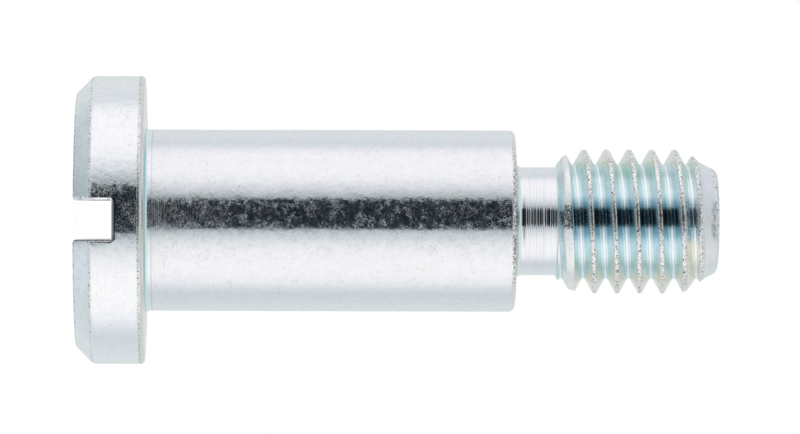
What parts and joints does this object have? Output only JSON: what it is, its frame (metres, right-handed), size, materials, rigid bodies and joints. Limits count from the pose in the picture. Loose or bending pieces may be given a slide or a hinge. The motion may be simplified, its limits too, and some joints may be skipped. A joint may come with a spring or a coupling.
{
  "type": "shoulder bolt",
  "caption": "Slotted pan head shoulder bolt: a wide flat head, a ground journal for a lever or roller to turn on, a relieved neck and a coarse metric thread.",
  "frame": {"origin": "centre of the head's flat top, on which the bolt stands", "axes": "+Z along the bolt's axis, from the head up to the thread's point; the driver slot runs along Y"},
  "size_m": [0.0158, 0.0158, 0.0353],
  "materials": {
    "zinc_plated_steel": "bright zinc plate with a faint blue passivation, turning lines and tumbling marks"
  },
  "bodies": {
    "root": {"shoulder_bolt": "zinc_plated_steel"}
  },
  "joints": []
}
